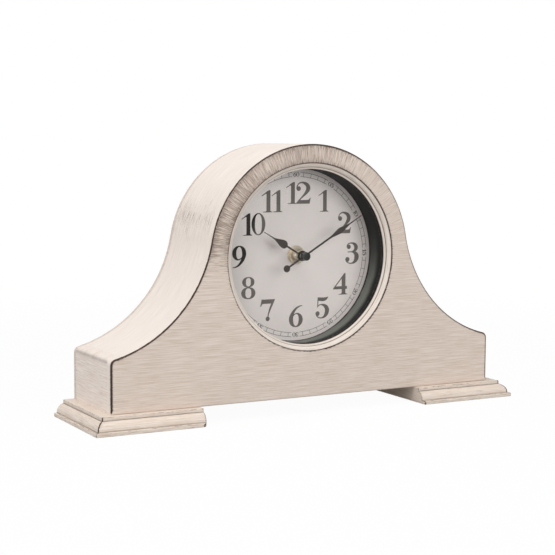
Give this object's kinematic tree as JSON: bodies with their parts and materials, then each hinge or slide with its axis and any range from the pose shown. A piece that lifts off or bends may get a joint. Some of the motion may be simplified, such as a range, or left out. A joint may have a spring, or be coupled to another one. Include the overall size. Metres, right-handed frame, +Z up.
{
  "type": "tambour mantel clock",
  "caption": "Tambour mantel clock: arched case with hollow sweeps on two moulded feet, round glazed dial with hour and minute hands, quartz movement behind.",
  "frame": {"origin": "middle of the clock's footprint, on the surface that its feet stand on", "axes": "+X to the right as seen from the front, +Y from the dial to the back, +Z up"},
  "size_m": [0.381, 0.0934, 0.2167],
  "materials": {
    "painted_board": "cream paint over board, brown glaze on the edges, satin",
    "painted_ring": "cream paint with brown glaze in the steps, satin",
    "back_board": "black painted board, matt",
    "bare_board": "bare fibreboard",
    "glue_block_wood": "bare softwood",
    "zinc_steel": "zinc plated",
    "clear_glass": "clear, flat",
    "black_enamel": "gloss black",
    "dial_print": "silver grey print, satin",
    "hand_black": "black coated, matt",
    "cap_black": "black, soft gloss",
    "brass": "turned, bright",
    "black_rubber": "matt",
    "white_acetal": "moulded",
    "steel": "turned",
    "magnet": "sintered",
    "knob_black": "moulded",
    "movement_shell": "moulded, fine texture",
    "silicon_steel": "stamped",
    "copper_wire": "enamelled copper",
    "board_green": "resin board",
    "chip_resin": "cast drop",
    "battery_sleeve": "plain sleeve",
    "nickel_strip": "nickel plated"
  },
  "bodies": {
    "case": {"front_panel": "painted_board", "back_panel": "back_board", "top_band": "painted_board", "left_end_board": "painted_board", "right_end_board": "painted_board", "bottom_board": "bare_board", "glue_blocks": "glue_block_wood", "left_foot": "painted_board", "right_foot": "painted_board", "foot_screws": "zinc_steel", "back_panel_screws": "zinc_steel", "bezel_ring": "painted_ring", "dial_glass": "clear_glass", "dial_pan": "black_enamel", "dial_pan_screws": "zinc_steel", "dial_plate": "dial_print", "hex_nut": "brass", "brass_washer": "brass", "rubber_washer": "black_rubber", "movement_front": "movement_shell", "movement_back": "movement_shell", "threaded_bushing": "brass", "stator": "silicon_steel", "coil_core": "silicon_steel", "coil_bobbin": "white_acetal", "coil_winding": "copper_wire", "circuit_board": "board_green", "board_chip": "chip_resin", "quartz_crystal": "steel", "plus_contact": "nickel_strip", "minus_contact": "nickel_strip"},
    "minute_work": {"minute_hand": "hand_black", "cap_nut": "cap_black", "minute_arbor": "steel"},
    "hour_work": {"hour_hand": "hand_black", "hour_wheel": "white_acetal"},
    "motion_work": {"motion_wheel": "white_acetal"},
    "knob": {"setting_knob": "knob_black"},
    "centre_work": {"centre_wheel": "brass"},
    "third_work": {"third_wheel": "white_acetal"},
    "second_work": {"second_wheel": "white_acetal"},
    "intermediate_work": {"intermediate_wheel": "white_acetal"},
    "rotor_work": {"rotor": "magnet"},
    "battery": {"battery": "battery_sleeve"}
  },
  "joints": [
    {"name": "minute_hand_turn", "type": "hinge", "parent": "case", "child": "minute_work", "pos_m": [0, 0.0007, 0.1261], "axis": [0, 1, 0], "continuous": true},
    {"name": "hour_hand_turn", "type": "hinge", "parent": "case", "child": "hour_work", "pos_m": [0, 0.0007, 0.1261], "axis": [0, 1, 0], "continuous": true},
    {"name": "motion_wheel_turn", "type": "hinge", "parent": "case", "child": "motion_work", "pos_m": [0, 0.0007, 0.1326], "axis": [0, 1, 0], "continuous": true},
    {"name": "setting_knob_turn", "type": "hinge", "parent": "case", "child": "knob", "pos_m": [0, 0.0007, 0.1391], "axis": [0, 1, 0], "continuous": true},
    {"name": "rotor_turn", "type": "hinge", "parent": "case", "child": "rotor_work", "pos_m": [-0.01791, 0.0007, 0.12302], "axis": [0, 1, 0], "continuous": true},
    {"name": "intermediate_wheel_turn", "type": "hinge", "parent": "case", "child": "intermediate_work", "pos_m": [-0.00945, 0.0007, 0.1261], "axis": [0, 1, 0], "continuous": true},
    {"name": "second_wheel_turn", "type": "hinge", "parent": "case", "child": "second_work", "pos_m": [0, 0.0007, 0.1261], "axis": [0, 1, 0], "continuous": true},
    {"name": "third_wheel_turn", "type": "hinge", "parent": "case", "child": "third_work", "pos_m": [0.0096, 0.0007, 0.1261], "axis": [0, 1, 0], "continuous": true},
    {"name": "centre_wheel_turn", "type": "hinge", "parent": "case", "child": "centre_work", "pos_m": [0, 0.0007, 0.1261], "axis": [0, 1, 0], "continuous": true},
    {"name": "battery_pull", "type": "slide", "parent": "case", "child": "battery", "axis": [0, 1, 0], "range_m": [0, 0.06]}
  ],
  "couplings": [
    {"joint": "hour_hand_turn", "follows": "minute_hand_turn", "ratio": 0.083333},
    {"joint": "motion_wheel_turn", "follows": "minute_hand_turn", "ratio": -0.33333},
    {"joint": "setting_knob_turn", "follows": "minute_hand_turn", "ratio": 1},
    {"joint": "intermediate_wheel_turn", "follows": "rotor_turn", "ratio": -0.2},
    {"joint": "second_wheel_turn", "follows": "rotor_turn", "ratio": 0.033333},
    {"joint": "third_wheel_turn", "follows": "rotor_turn", "ratio": -0.0044444},
    {"joint": "centre_wheel_turn", "follows": "rotor_turn", "ratio": 0.00055556}
  ]
}
